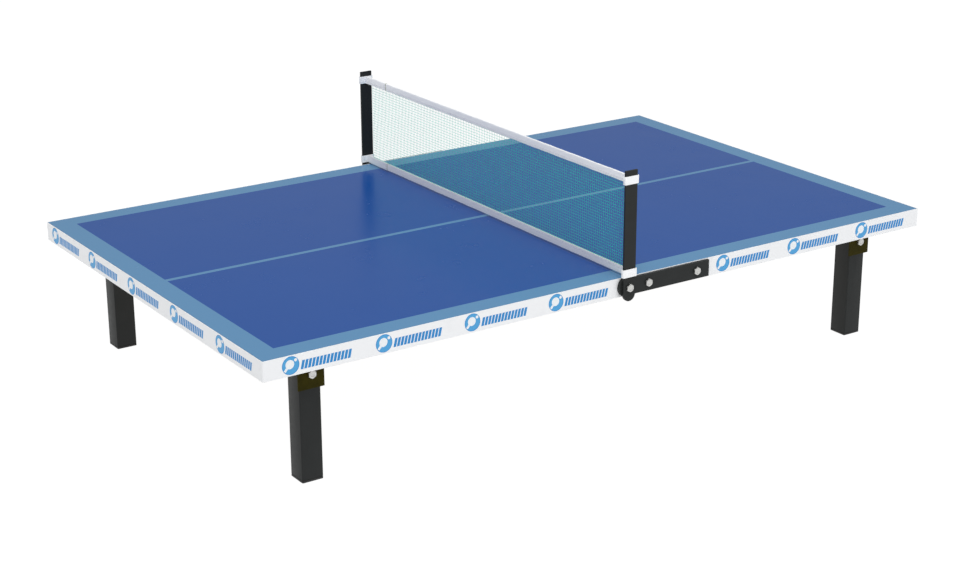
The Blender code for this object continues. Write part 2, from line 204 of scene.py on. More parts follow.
def white_plastic(name):
    """Extruded edge band: faint drawn lines along it and a little handling grime."""
    colour = srgb(247, 248, 250)
    band = Finish(name, colour, roughness=0.4)
    grime = band.noise(scale=45, detail=5, roughness=0.7)
    band.colours(band.ramp(grime, 0.55, 0.8), colour, shade(colour, 0.93))
    band.roughnesses(band.noise(scale=120, detail=3), 0.34, 0.5)
    drawn_lines = band.noise(scale=60, detail=2, vector=band.stretched((1, 1, 60)))
    band.bump(drawn_lines, distance=0.015 * MM, strength=0.5)
    band.bump(band.noise(scale=1500, detail=2), distance=0.01 * MM, strength=0.3)
    return band.material


def printed_ink(name, colour):
    """Screen printed ink, slightly speckled."""
    ink = Finish(name, colour, roughness=0.45)
    speckle = ink.noise(scale=1300, detail=2)
    ink.colours(ink.ramp(speckle, 0.3, 0.7), shade(colour, 0.93), shade(colour, 1.05))
    ink.bump(speckle, distance=0.01 * MM, strength=0.3)
    return ink.material


def fibreboard(name):
    """The board's bare underside: pressed brown fibre with pale flecks."""
    dark, pale = srgb(128, 98, 66), srgb(176, 144, 104)
    board = Finish(name, dark, roughness=0.85)
    fibre = board.noise(scale=260, detail=8, roughness=0.75, vector=board.stretched((1, 0.5, 1)))
    board.colours(board.ramp(fibre, 0.36, 0.66), dark, pale)
    board.roughnesses(fibre, 0.78, 0.95)
    board.bump(fibre, distance=0.15 * MM, strength=0.6)
    return board.material


def powder_coat(name, colour, worn=False):
    """Sprayed satin powder coat with its fine orange peel; on worn edges it is thinner and paler."""
    coat = Finish(name, colour, roughness=0.45)
    cloud = coat.noise(scale=60, detail=5, roughness=0.6)
    pale = shade(colour, 1.6 if worn else 1.15)
    coat.colours(coat.ramp(cloud, 0.42 if worn else 0.35, 0.75), colour, pale)
    coat.roughnesses(coat.noise(scale=240, detail=4), 0.34, 0.52)
    coat.bump(coat.noise(scale=1500, detail=2), distance=0.03 * MM, strength=0.5)
    coat.set("Specular IOR Level", 0.14)
    return coat.material


def olive_passivate(name):
    """Dark olive drab passivated sheet, cloudy, with fine rolling lines."""
    dark, light = srgb(47, 43, 0), srgb(58, 53, 2)
    sheet = Finish(name, dark, roughness=0.5)
    cloud = sheet.noise(scale=90, detail=6, roughness=0.65)
    sheet.colours(sheet.ramp(cloud, 0.35, 0.7), dark, light)
    sheet.roughnesses(sheet.noise(scale=300, detail=4), 0.42, 0.6)
    sheet.set("Specular IOR Level", 0.06)
    rolled_lines = sheet.noise(scale=500, detail=2, vector=sheet.stretched((0.06, 1, 1)))
    sheet.bump(rolled_lines, distance=0.02 * MM, strength=0.4)
    return sheet.material


def zinc_plate(name):
    """Bright zinc plate: soft grey metal with cloudy dull patches and tool marks."""
    zinc = Finish(name, srgb(205, 204, 200), roughness=0.3, metallic=1.0)
    cloud = zinc.noise(scale=420, detail=5, roughness=0.6)
    zinc.colours(zinc.ramp(cloud, 0.3, 0.75), srgb(214, 213, 208), srgb(182, 183, 184))
    zinc.roughnesses(cloud, 0.24, 0.46)
    zinc.bump(zinc.noise(scale=1800, detail=3), distance=0.02 * MM, strength=0.4)
    return zinc.material


def moulded_black(name):
    """Black moulded plastic with a grained surface."""
    plastic = Finish(name, srgb(22, 22, 23), roughness=0.55)
    grain = plastic.cells(scale=1400)
    plastic.colours(plastic.noise(scale=150, detail=4), srgb(17, 17, 18), srgb(29, 29, 30))
    plastic.roughnesses(plastic.noise(scale=300, detail=4), 0.46, 0.66)
    plastic.bump(grain, distance=0.03 * MM, strength=0.5)
    return plastic.material


def nylon(name):
    """The pale blue nylon of a lock nut's collar."""
    ring = Finish(name, srgb(188, 205, 222), roughness=0.4)
    ring.colours(ring.noise(scale=500, detail=3), srgb(176, 196, 216), srgb(205, 217, 229))
    ring.set("Subsurface Weight", 0.1)
    return ring.material


def woven_tape(name, colour):
    """Woven tape, ribbed both ways, darker in the hollows between its ribs as painted shade; a faint glow
    is painted light that brightens the whole tape.
    """
    tape = Finish(name, colour, roughness=0.85)
    across = tape.waves(scale=640, direction="Y", distortion=0.6)
    upwards = tape.waves(scale=700, direction="Z", distortion=0.6)
    weave_relief_and_shade = tape.maths("MULTIPLY", across, upwards)
    # painted shade: the colour is darker where the ribs' relief is low, in the hollows between them
    tape.colours(tape.ramp(weave_relief_and_shade, 0.0, 0.5), shade(colour, 0.9), colour)
    tape.roughnesses(tape.noise(scale=300, detail=3), 0.78, 0.92)
    tape.bump(weave_relief_and_shade, distance=0.08 * MM, strength=0.5)
    tape.bump(tape.noise(scale=60, detail=3), distance=0.2 * MM, strength=0.3)
    tape.set("Specular IOR Level", 0.2)
    # painted light: a faint white glow that lifts the tape's brightness, though the tape is no lamp
    tape.set("Emission Color", (*colour, 1))
    tape.set("Emission Strength", 0.09)
    return tape.material


def twisted_thread(name, dark, light):
    """Twisted thread, its plies painted lighter where they stand proud and darker between them: painted
    highlight and shade.
    """
    thread = Finish(name, dark, roughness=0.8)
    ply_relief_and_shade = thread.noise(scale=1900, detail=2)
    # painted highlight and shade: the plies' raised parts lighter and the hollows between them darker,
    # from the same map as the bump
    thread.colours(thread.ramp(ply_relief_and_shade, 0.3, 0.7), dark, light)
    thread.bump(ply_relief_and_shade, distance=0.08 * MM, strength=0.7)
    thread.set("Specular IOR Level", 0.1)
    return thread.material


def studio_floor(name):
    """A pale floor that glows evenly, so that it stays white and takes only a faint shadow."""
    ground = Finish(name, (0.08, 0.08, 0.08), roughness=0.9)
    ground.colours(ground.noise(scale=3, detail=2), (0.075, 0.077, 0.08), (0.085, 0.087, 0.09))
    ground.set("Emission Color", (1, 1, 1, 1))
    ground.set("Emission Strength", 0.985)
    ground.set("Specular IOR Level", 0.0)
    return ground.material


BLUE = court_paint("court_blue", srgb(18, 77, 155))
LINE = court_paint("court_line", srgb(90, 141, 183))
BAND = white_plastic("edge_band_white")
INK = printed_ink("ink_blue", srgb(26, 136, 206))
INK_LIGHT = printed_ink("ink_light", srgb(72, 164, 222))
INK_WHITE = printed_ink("ink_white", srgb(244, 247, 250))
FIBRE = fibreboard("fibreboard")
STEEL = powder_coat("black_steel", srgb(40, 42, 42))
STEEL_EDGE = powder_coat("black_steel_edge", srgb(46, 48, 48), worn=True)
OLIVE = olive_passivate("olive_steel")
ZINC = zinc_plate("zinc_plate")
FOOT = moulded_black("foot_plastic")
NYLON = nylon("nylon_collar")
TAPE = woven_tape("net_tape", srgb(249, 250, 252))
# painted shade: a darker tape for the strip along the step where the back loop's tail begins
TAPE_STEP_SHADE = woven_tape("net_tape_step_shade", srgb(202, 204, 194))
THREAD = twisted_thread("net_thread", srgb(18, 192, 170), srgb(36, 220, 196))
STITCH = twisted_thread("stitch_thread", srgb(196, 196, 208), srgb(232, 232, 238))


# ---- mesh helpers ------------------------------------------------------------------------


def new_piece(name, bm, body, nodes=(), materials=(), smooth=40):
    """A finished mesh as a piece of the table. Edges sharper than smooth, in degrees, stay crisp."""
    bmesh.ops.recalc_face_normals(bm, faces=bm.faces)
    mesh = bpy.data.meshes.new(name)
    bm.to_mesh(mesh)
    bm.free()
    for material in materials:
        mesh.materials.append(material)
    mesh.shade_smooth()
    mesh.set_sharp_from_angle(angle=math.radians(smooth))
    piece = bpy.data.objects.new(name, mesh)
    scene.collection.objects.link(piece)
    if nodes:
        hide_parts(*nodes)
    if body:
        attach(piece, body)
    return piece


def carve(piece, cutter):
    """Cuts a closed shape out of a piece."""
    bmesh.ops.recalc_face_normals(cutter, faces=cutter.faces)
    mesh = bpy.data.meshes.new("cutter")
    cutter.to_mesh(mesh)
    cutter.free()
    tool = bpy.data.objects.new("cutter", mesh)
    scene.collection.objects.link(tool)
    cut = piece.modifiers.new("cut", "BOOLEAN")
    cut.operation = "DIFFERENCE"
    cut.use_self = True
    cut.object = tool
    bpy.context.view_layer.update()
    done = bpy.data.meshes.new_from_object(piece.evaluated_get(bpy.context.evaluated_depsgraph_get()))
    piece.modifiers.clear()
    piece.data = done
    bpy.data.objects.remove(tool)


def soften(piece, width, segments=2, angle=40, material=-1):
    """Rounds a piece's edges; the rounded faces may take a material of their own."""
    bevel = piece.modifiers.new("edges", "BEVEL")
    bevel.width = width
    bevel.segments = segments
    bevel.limit_method = "ANGLE"
    bevel.angle_limit = math.radians(angle)
    bevel.harden_normals = True
    bevel.material = material


def refined(node, body, materials, width, segments=3):
    """A CAD node as a piece of its own, cleaned of its triangulation and with softened edges."""
    bm = bmesh.new()
    bm.from_mesh(frame["nodes"][node].data)
    bmesh.ops.remove_doubles(bm, verts=bm.verts, dist=0.002 * MM)
    bmesh.ops.dissolve_limit(bm, angle_limit=math.radians(0.5), verts=bm.verts, edges=bm.edges)
    for face in bm.faces:
        face.material_index = 0
    piece = new_piece(f"{node}_skin", bm, body, [node], materials)
    soften(piece, width, segments, material=1 if len(materials) > 1 else -1)


def add_loft(bm, rings, material=0, round_trip=False):
    """Rings of points skinned in order; capped at both ends, or joined from the last to the first."""
    made = [[bm.verts.new(point) for point in ring] for ring in rings]
    if round_trip:
        made.append(made[0])
    for one, two in zip(made, made[1:]):
        for i in range(len(one)):
            j = (i + 1) % len(one)
            bm.faces.new((one[i], one[j], two[j], two[i])).material_index = material
    if not round_trip:
        for cap in (made[0], made[-1]):
            bm.faces.new(cap).material_index = material


def turned(bm, place, profile, sides=32, flats=None, material=0):
    """Rings round the local Z axis from (radius, height) pairs; flats cuts them to a hexagon's apothem."""
    rings = []
    for radius, height in profile:
        ring = []
        for i in range(sides):
            angle = 2 * math.pi * i / sides
            reach = radius
            if flats:
                off = (angle + math.pi / 6) % (math.pi / 3) - math.pi / 6
                reach = min(radius, flats / math.cos(off))
            ring.append(place @ Vector((reach * math.cos(angle), reach * math.sin(angle), height)))
        rings.append(ring)
    add_loft(bm, rings, material)


def add_plate(bm, place, outline, low, high, material=0):
    """A flat outline of (u, v) points made solid between two heights over its plane."""
    rings = [[place @ Vector((u, v, height)) for u, v in outline] for height in (low, high)]
    add_loft(bm, rings, material)


def circle(centre, radius, steps, start=0.0, end=360.0):
    """Points round a centre; a full circle's last point isn't repeated."""
    full = abs(end - start) >= 360
    count = steps if full else steps + 1
    angles = (math.radians(start + (end - start) * i / steps) for i in range(count))
    return [(centre[0] + radius * math.cos(a), centre[1] + radius * math.sin(a)) for a in angles]


def facing(origin, across, outward):
    """A place whose local X runs across a face and whose local Z stands out of it."""
    across, outward = Vector(across), Vector(outward)
    up = outward.cross(across)
    return Matrix.Translation(origin) @ Matrix((across, up, outward)).transposed().to_4x4()


# ---- boards ------------------------------------------------------------------------------

BORDER, CENTRE_LINE = 27 * MM, 6.5 * MM
PAINTED, LINED, BARE = 0, 1, 2  # a board's materials


def board(side, label, body):
    """Half the board: a painted face with a border and a middle line, and a painted edge at the seam."""
    low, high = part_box(f"{label}_board")
    inner, outer = sorted((low.x, high.x), key=abs)
    stops_x = [inner, side * (HALF_X - BORDER), outer]
    stops_y = [-CORE_Y, BORDER - HALF_Y, -CENTRE_LINE / 2, CENTRE_LINE / 2, HALF_Y - BORDER, CORE_Y]
    last_x, last_y = len(stops_x) - 1, len(stops_y) - 1
    bm = bmesh.new()
    under, top = [[[bm.verts.new((x, y, z)) for y in stops_y] for x in stops_x] for z in (UNDER, TOP)]
    for grid in (under, top):
        for i in range(last_x):
            for j in range(last_y):
                face = bm.faces.new((grid[i][j], grid[i + 1][j], grid[i + 1][j + 1], grid[i][j + 1]))
                in_border = i == 1 or j in (0, last_y - 1)
                in_line = j == 2
                face.material_index = LINED if in_border or in_line else PAINTED
                if grid is under:
                    face.material_index = BARE
    rim = [(0, j) for j in range(last_y)] + [(i, last_y) for i in range(last_x)]
    rim += [(last_x, j) for j in range(last_y, 0, -1)] + [(i, 0) for i in range(last_x, 0, -1)]
    for (i, j), (k, m) in zip(rim, rim[1:] + rim[:1]):
        face = bm.faces.new((under[i][j], under[k][m], top[k][m], top[i][j]))
        at_seam = i == k == 0
        face.material_index = PAINTED if at_seam else LINED
    piece = new_piece(f"{label}_top", bm, body, [f"{label}_board"], [BLUE, LINE, FIBRE])
    soften(piece, 0.3 * MM)


def edge_band(side, label, body):
    """The white band, bent round the half's three outer sides, with softened corners."""
    corner, steps = 1.6 * MM, 6
    outer, inner = [(side * SEAM, -HALF_Y)], [(side * SEAM, -HALF_Y + BAND_T)]
    for sign, start in ((-1, 270), (1, 0)):
        centre = (HALF_X - corner, sign * (HALF_Y - corner))
        for radius, path in ((corner, outer), (corner - BAND_T, inner)):
            path.extend((side * x, y) for x, y in circle(centre, radius, steps, start, start + 90))
    outer.append((side * SEAM, HALF_Y))
    inner.append((side * SEAM, HALF_Y - BAND_T))
    bm = bmesh.new()
    add_plate(bm, Matrix(), outer + inner[::-1], UNDER, TOP)
    piece = new_piece(f"{label}_band", bm, body, [f"{label}_edge_band"], [BAND])
    soften(piece, 0.25 * MM, angle=50)


MARK_PITCH, MARK_Z, INK_T = 108 * MM, TOP - 10.6 * MM, 0.05 * MM
SIDE_MARKS, FIRST_SIDE_MARK = 4, 21 * MM
END_MARKS, FIRST_END_MARK = 5, 15.5 * MM
ARM_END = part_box("net_arm_front")[1].x


def bat_badge(bm, place):
    """A light blue roundel with a darker rim, and a white bat and ball on it."""
    rim, light, white = 0, 1, 2
    middle, radius, rim_wide, raised = (10.5 * MM, 0), 9.8 * MM, 0.7 * MM, 2.5 * INK_T
    add_plate(bm, place, circle(middle, radius, 48), -INK_T, INK_T, rim)
    add_plate(bm, place, circle(middle, radius - rim_wide, 48), 0, 1.7 * INK_T, light)
    blade, half_grip, grip_end, turn = 4.9 * MM, 1.35 * MM, -9.2 * MM, math.radians(-42)
    lean = Matrix.Translation((9.6 * MM, 1.2 * MM, 0)) @ Matrix.Rotation(turn, 4, "Z")
    neck = math.degrees(math.asin(half_grip / blade))
    bat = circle((0, 0), blade, 30, neck - 90, 270 - neck)
    bat += [(-half_grip, grip_end), (half_grip, grip_end)]
    add_plate(bm, place @ lean, bat, 0, raised, white)
    ball, ball_radius = (16.2 * MM, 5.0 * MM), 1.7 * MM
    add_plate(bm, place, circle(ball, ball_radius, 20), 0, raised, white)


def speed_bars(bm, place):
    """A row of leaning bars, which fills the rest of the mark."""
    count, first, pitch, wide, lean = 14, 21.5 * MM, 4.15 * MM, 3.1 * MM, 2.2 * MM
    bottom, top = -6.6 * MM, 2.8 * MM
    for k in range(count):
        start = first + k * pitch
        bar = [(start, bottom), (start + wide, bottom), (start + wide + lean, top), (start + lean, top)]
        add_plate(bm, place, bar, -INK_T, INK_T)


def printed_marks(side, label, body):
    """The marks round a half's band: up to four on each long side, and five on the end."""
    places = []
    for front in (-1, 1):
        start = FIRST_SIDE_MARK - (HALF_X if side * front > 0 else 0)
        for k in range(SIDE_MARKS):
            x = -front * (start + k * MARK_PITCH)
            under_arm = 0 < x < ARM_END + 1 * MM
            if not under_arm:
                places.append(facing((x, front * HALF_Y, MARK_Z), (-front, 0, 0), (0, front, 0)))
    for k in range(END_MARKS):
        y = side * (FIRST_END_MARK + k * MARK_PITCH - HALF_Y)
        places.append(facing((side * HALF_X, y, MARK_Z), (0, side, 0), (side, 0, 0)))
    bm = bmesh.new()
    for place in places:
        bat_badge(bm, place)
        speed_bars(bm, place)
    new_piece(f"{label}_marks", bm, body, (), [INK, INK_LIGHT, INK_WHITE])


# ---- fasteners ---------------------------------------------------------------------------

BOLT_R, THREAD_PITCH, HOLE_PLAY = 2.5 * MM, 0.8 * MM, 0.3 * MM
ROOT, TIP = 0.86, 0.7  # of a thread's radius
ARM_HEAD, LEG_HEAD = 2.3 * MM, 3.4 * MM
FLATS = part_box("net_pivot_bolt_front")[1].x
CORNER = FLATS / math.cos(math.pi / 6)
HEX_SIDES = 72  # points round a hexagon, which put one on each corner


def thread_profile(start, end, radius):
    """A shank's outline with a rolled thread's crests and roots, from one height to another."""
    turns = max(1, round(abs(end - start) / THREAD_PITCH))
    step = (end - start) / turns
    points = []
    for k in range(turns):
        points += [(radius * ROOT, start + step * k), (radius, start + step * (k + 0.5))]
    return points + [(radius * ROOT, end), (radius * TIP, end)]


def side_of(node):
    """Which long side a fastener is on, and the middle of it along X and Z."""
    low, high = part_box(node)
    return (-1 if low.y + high.y < 0 else 1), (low.x + high.x) / 2, (low.z + high.z) / 2


def hex_bolt(node, body):
    """A hexagon bolt whose head has a chamfered crown and a washer face."""
    low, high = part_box(node)
    front, x, z = side_of(node)
    tall = LEG_HEAD if "leg" in node else ARM_HEAD
    seat = max(abs(low.y), abs(high.y)) - tall
    place = facing((x, front * seat, z), (1, 0, 0), (0, front, 0))
    washer_t, chamfer, dip = 0.25 * MM, 0.75 * MM, 0.2 * MM
    head = [
        (0.2 * MM, 0.3 * MM),
        (0.92 * FLATS, 0),
        (0.94 * FLATS, washer_t),
        (CORNER, washer_t),
        (CORNER, tall - chamfer),
        (1.04 * FLATS, tall - dip),
        (0.94 * FLATS, tall),
        (0.6 * FLATS, tall - dip / 10),
        (0.54 * FLATS, tall - dip),
    ]
    bm = bmesh.new()
    turned(bm, place, head, HEX_SIDES, FLATS)
    turned(bm, place, thread_profile(washer_t, tall - (high.y - low.y), BOLT_R), sides=24)
    new_piece(f"{node}_skin", bm, body, [node], [ZINC], smooth=28)


def lock_nut(node, body):
    """A hexagon lock nut with its nylon collar."""
    low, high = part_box(node)
    front, x, z = side_of(node)
    place = facing((x, front * max(abs(low.y), abs(high.y)), z), (-1, 0, 0), (0, -front, 0))
    collar, mouth, tall = 3.7 * MM, 3.0 * MM, 6.1 * MM
    outline = [
        (BOLT_R + 0.2 * MM, 0),
        (0.96 * FLATS, 0),
        (CORNER, 0.5 * MM),
        (CORNER, 4.0 * MM),
        (0.97 * FLATS, 4.55 * MM),
        (collar, 4.6 * MM),
        (collar, 5.7 * MM),
        (collar - 0.3 * MM, tall),
        (mouth, tall),
        (mouth, 5.7 * MM),
    ]
    ring = [(mouth, 5.0 * MM), (mouth, 5.85 * MM), (BOLT_R, 5.9 * MM)]
    bm = bmesh.new()
    turned(bm, place, outline, HEX_SIDES, FLATS)
    turned(bm, place, ring, sides=36, material=1)
    new_piece(f"{node}_skin", bm, body, [node], [ZINC, NYLON], smooth=28)


def cross_screw(node, body):
    """A wood screw seen from below: a domed head with a cross recess, and a tapering thread."""
    low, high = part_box(node)
    x, y, long = (low.x + high.x) / 2, (low.y + high.y) / 2, high.z - low.z
    place = facing((x, y, low.z), (1, 0, 0), (0, 0, 1))
    radius, tall, tip, core = (high.x - low.x) / 2, 1.6 * MM, 2 * MM, 1.7 * MM
    dome = [(radius * math.cos(a), tall * (1 - math.sin(a))) for a in np.linspace(1.35, 0, 7)]
    bm = bmesh.new()
    turned(bm, place, [*dome, (radius * 0.55, tall)], sides=36)
    turned(bm, place, [*thread_profile(tall * 0.9, long - tip, core), (0.2 * MM, long)], sides=16)
    piece = new_piece(f"{node}_skin", bm, body, [node], [ZINC])
    arm, half, deep = 1.9 * MM, 0.42 * MM, 0.95 * MM
    cross = [(-arm, -half), (arm, -half), (arm, half), (-arm, half)]
    recess = bmesh.new()
    for turn in (0, math.pi / 2):
        add_plate(recess, place @ Matrix.Rotation(turn, 4, "Z"), cross, -1 * MM, deep)
    carve(piece, recess)


# ---- brackets ----------------------------------------------------------------------------

SHEET_T, BEND, INNER_CHEEK = 1.6 * MM, 2.6 * MM, 24 * MM


def leg_bracket(node, body):
    """A channel folded from one sheet: rounded bends, a long outer and a short inner cheek, and holes."""
    low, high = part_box(node)
    leg = node.removesuffix("_leg_bracket")
    front, x, z = side_of(f"{leg}_leg_bolt")
    middle, half = (low.y + high.y) / 2, (high.y - low.y) / 2
    outline = [(half, low.z)]
    outline += circle((half - BEND, high.z - BEND), BEND, 8, 0, 90)
    outline += circle((BEND - half, high.z - BEND), BEND, 8, 90, 180)
    outline += [(-half, UNDER - INNER_CHEEK), (SHEET_T - half, UNDER - INNER_CHEEK)]
    outline += circle((BEND - half, high.z - BEND), BEND - SHEET_T, 5, 180, 90)
    outline += circle((half - BEND, high.z - BEND), BEND - SHEET_T, 5, 90, 0)
    outline += [(half - SHEET_T, low.z)]
    along_x = Matrix(((0, 0, 1, 0), (front, 0, 0, 0), (0, 1, 0, 0), (0, 0, 0, 1)))
    bm = bmesh.new()
    add_plate(bm, Matrix.Translation((0, middle, 0)) @ along_x, outline, low.x, high.x)
    piece = new_piece(f"{node}_skin", bm, body, [node], [OLIVE])
    holes = bmesh.new()
    bore, through = BOLT_R + HOLE_PLAY, 20 * MM
    turned(holes, facing((x, middle, z), (1, 0, 0), (0, 1, 0)), [(bore, -2 * half), (bore, 2 * half)])
    for number in (1, 2):
        screw_low, screw_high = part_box(f"{leg}_bracket_screw_{number}")
        centre = (screw_low + screw_high) / 2
        hole = (screw_high.x - screw_low.x) / 2 + HOLE_PLAY
        turned(holes, Matrix.Translation(centre), [(hole, -through), (hole, through)])
    carve(piece, holes)
    soften(piece, 0.2 * MM, angle=50)


# ---- net ---------------------------------------------------------------------------------

POST_IN, POST_OUT = (abs(corner.y) for corner in reversed(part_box("net_post_front")))
THREAD_R, KNOT_R, MESH_Y, MESH_Z = 0.18 * MM, 0.306 * MM, 3.5 * MM, 3.25 * MM
DRIFT, WAVER = 0.07 * MM, 0.1 * MM  # how far the threads stray along the net and out of its plane
TAPE_GAPE, TAPE_CLOTH, LOOP_CLOTH = 0.65 * MM, 0.5 * MM, 0.7 * MM
TAPE_OUT = TAPE_GAPE + TAPE_CLOTH
# the last of these is the width of the darker strip, painted shade, along the tail's step
TAIL_LONG, TAIL_CLOTH, STEP_SHADE_WIDE = 50 * MM, 0.4 * MM, 1.6 * MM
BEND_START, BEND_END = POST_IN - 1.1 * MM, HALF_Y + 0.5 * MM
STITCH_LONG, STITCH_PITCH, STITCH_R = 2.2 * MM, 3.0 * MM, 0.16 * MM
HALF_TURN = np.linspace(0, math.pi, 11)


def wander(t, size, seed):
    """A smooth small irregularity, the same each run."""
    return size * (np.sin(t * 0.71 + seed) + 0.6 * np.sin(t * 1.93 + 2.3 * seed)) / 1.6


def strand(points, radius, sides=4):
    """Rings of points round a path that runs mostly along Y or Z."""
    points = np.asarray(points, float)
    ahead = points[-1] - points[0]
    across = np.array([0.0, 0.0, 1.0]) if abs(ahead[1]) > abs(ahead[2]) else np.array([0.0, 1.0, 0.0])
    out = np.array([1.0, 0.0, 0.0])
    angles = 2 * math.pi * np.arange(sides) / sides
    ring = radius * (np.cos(angles)[:, None] * out + np.sin(angles)[:, None] * across)
    return points[:, None, :] + ring[None, :, :]


def tube_piece(name, tubes, material):
    """One piece of many closed tubes, each given as rings of points. It still has to ride on a body."""
    vertices, faces, base = [], [], 0
    for rings in tubes:
        count, sides = rings.shape[:2]
        vertices.append(rings.reshape(-1, 3))
        for k in range(count - 1):
            for i in range(sides):
                j = (i + 1) % sides
                a, b = base + k * sides, base + (k + 1) * sides
                faces.append((a + i, a + j, b + j, b + i))
        faces.append(tuple(base + i for i in reversed(range(sides))))
        faces.append(tuple(base + (count - 1) * sides + i for i in range(sides)))
        base += count * sides
    mesh = bpy.data.meshes.new(name)
    mesh.from_pydata(np.concatenate(vertices).tolist(), [], faces)
    mesh.update()
    bm = bmesh.new()
    bm.from_mesh(mesh)
    bpy.data.meshes.remove(mesh)
    return new_piece(name, bm, None, (), [material], smooth=80)


def knot(centre):
    """A thicker lump round a crossing, narrow at both ends."""
    reach = np.array([0.0, 0.9 * KNOT_R, 0.0])
    ends = [centre - reach, centre, centre + reach]
    rings = strand(ends, KNOT_R)
    for k in (0, 2):
        rings[k] = ends[k] + (rings[k] - ends[k]) * 0.35
    return rings


def net_threads():
    """The mesh: upright threads and cross threads, knotted at every crossing."""
    low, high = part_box("net_mesh")
    reach = 3 * MM
    ys = np.linspace(low.y + THREAD_R, high.y - THREAD_R, round((high.y - low.y) / MESH_Y))
    zs = np.linspace(low.z - reach, high.z + reach, round((high.z - low.z + 2 * reach) / MESH_Z))
    spot = np.zeros((len(ys), len(zs), 3))
    for i, y in enumerate(ys):
        for j, z in enumerate(zs):
            drift = wander(j * 0.9 + i * 0.37, DRIFT, 1.0)
            spot[i, j] = (wander(i * 0.21 + j * 0.5, WAVER, 2.0), y + drift, z + drift * 0.5)
    inner = range(1, len(zs) - 1)
    tubes = [strand(spot[i], THREAD_R) for i in range(len(ys))]
    tubes += [strand(spot[:, j], THREAD_R) for j in inner]
    tubes += [knot(spot[i, j]) for i in range(len(ys)) for j in inner]
    piece = tube_piece("net_threads", tubes, THREAD)
    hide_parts("net_mesh")
    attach(piece, "net")


def tape_edges(node):
    """A tape's folded edge, its open edge, and which way the fold points."""
    low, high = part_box(node)
    return (high.z, low.z, 1) if "top" in node else (low.z, high.z, -1)


def tape_section(node, grow=0.0):
    """The section of a tape folded over the mesh's edge, thickened on its outside."""
    fold, edge, away = tape_edges(node)
    centre = fold - away * TAPE_OUT
    section = []
    for radius, start in ((TAPE_OUT + grow, -1), (TAPE_GAPE, 1)):
        bend = [(start * radius * math.cos(a), centre + away * radius * math.sin(a)) for a in HALF_TURN]
        section += [(start * radius, edge), *bend, (-start * radius, edge)]
    return section


def tape_run(bm, node, front):
    """Half of a tape. The back loop's tail is sewn down over it, and a darker strip at the tail's end is
    painted shade along its step.
    """
    end = abs(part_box(node)[1].y)
    tail = end - TAIL_LONG
    last = TAIL_CLOTH if front > 0 else 0.0
    stops = [(y, 0.0) for y in np.linspace(0, tail, 58)]
    stops.append((tail + 0.1 * MM, last))
    stops += [(y, last) for y in np.linspace(tail + STEP_SHADE_WIDE, BEND_END, 13)]
    stops += [(y, last) for y in np.linspace(BEND_END + 0.4 * MM, end, 6)]
    rings = []
    for y, grow in stops:
        sway = wander(y * 140, 0.12 * MM, 1.7 if "top" in node else 0.4)
        ring = [Vector((u + sway * 0.5, front * y, v + sway)) for u, v in tape_section(node, grow)]
        rings.append(ring)
    add_loft(bm, rings)
    # painted shade: the faces just past the tail's step take the darker tape
    if front > 0:
        for face in bm.faces:
            if tail < face.calc_center_median().y < tail + STEP_SHADE_WIDE:
                face.material_index = 1


def tape_loop(bm, node, front):
    """The tape's end, sewn into a rounded oblong loop round its post."""
    low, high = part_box(node)
    half_x, half_y, middle = high.x, (POST_OUT - POST_IN) / 2 + 1 * MM, (POST_IN + POST_OUT) / 2
    corner, soft, steps = 1.2 * MM, 0.2 * MM, 5
    outline = []
    for across, along, start in ((1, 1, 0), (-1, 1, 90), (-1, -1, 180), (1, -1, 270)):
        centre = (across * (half_x - corner), along * (half_y - corner))
        outline += circle(centre, corner, steps, start, start + 90)
    wide, eased = (1, 1), (0.985, 0.985)
    inside = ((half_x - LOOP_CLOTH) / half_x, (half_y - LOOP_CLOTH) / half_y)
    levels = ((low.z, eased), (low.z + soft, wide), (high.z - soft, wide), (high.z, eased))
    levels += ((high.z, inside), (low.z, inside))
    rings = []
    for z, (by_x, by_y) in levels:
        rings.append([(u * by_x, front * (middle + v * by_y), z) for u, v in outline])
    add_loft(bm, rings, round_trip=True)


def stitch(centre, along):
    """A short raised stitch that dips into the cloth at both ends."""
    centre, along = np.array(centre, float), np.array(along, float) * STITCH_LONG / 2
    out = np.array([math.copysign(STITCH_R, centre[0]), 0, 0])
    path = [
        centre - along - out,
        centre - along * 0.6 + out * 0.5,
        centre + along * 0.6 + out * 0.5,
        centre + along - out,
    ]
    return strand(path, STITCH_R, 6)


def tape_stitches(node, front):
    """Two rows along the tape's open edge, and two across it where the back loop's tail is sewn down."""
    _, edge, away = tape_edges(node)
    end = abs(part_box(node)[1].y)
    tail = end - TAIL_LONG if front > 0 else end
    tubes = []
    for face in (-1, 1):
        for row in (1.2 * MM, 2.6 * MM):
            for k in range(int((end - 6 * MM) / STITCH_PITCH)):
                y = (k + 0.5) * STITCH_PITCH
                x = face * (TAPE_OUT + (TAIL_CLOTH if y > tail else 0))
                tubes.append(stitch((x, front * y, edge + away * row), (0, 1, 0)))
        if front > 0:
            for y in (tail + 2.6 * MM, tail + 4.6 * MM):
                for k in range(3):
                    z = edge + away * (1.6 * MM + k * STITCH_PITCH * 0.85)
                    tubes.append(stitch((face * (TAPE_OUT + TAIL_CLOTH), y, z), (0, 0, 1)))
    return tubes


def net_tapes():
    """Each tape is two half pieces, one for each end with its post's loop; their stitches are pieces of
    their own.
    """
    for level in ("top", "bottom"):
        node = f"net_{level}_tape"
        for front, label in ((-1, "front"), (1, "back")):
            loop = f"{level}_tape_loop_{label}"
            bm = bmesh.new()
            tape_run(bm, node, front)
            tape_loop(bm, loop, front)
            tape = new_piece(f"{node}_{label}", bm, None, (), [TAPE, TAPE_STEP_SHADE], smooth=50)
            tubes = tape_stitches(node, front)
            sewing = tube_piece(f"{node}_{label}_stitches", tubes, STITCH)
            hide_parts(node, loop)
            for piece in (tape, sewing):
                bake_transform(piece)


# ---- the table ---------------------------------------------------------------------------

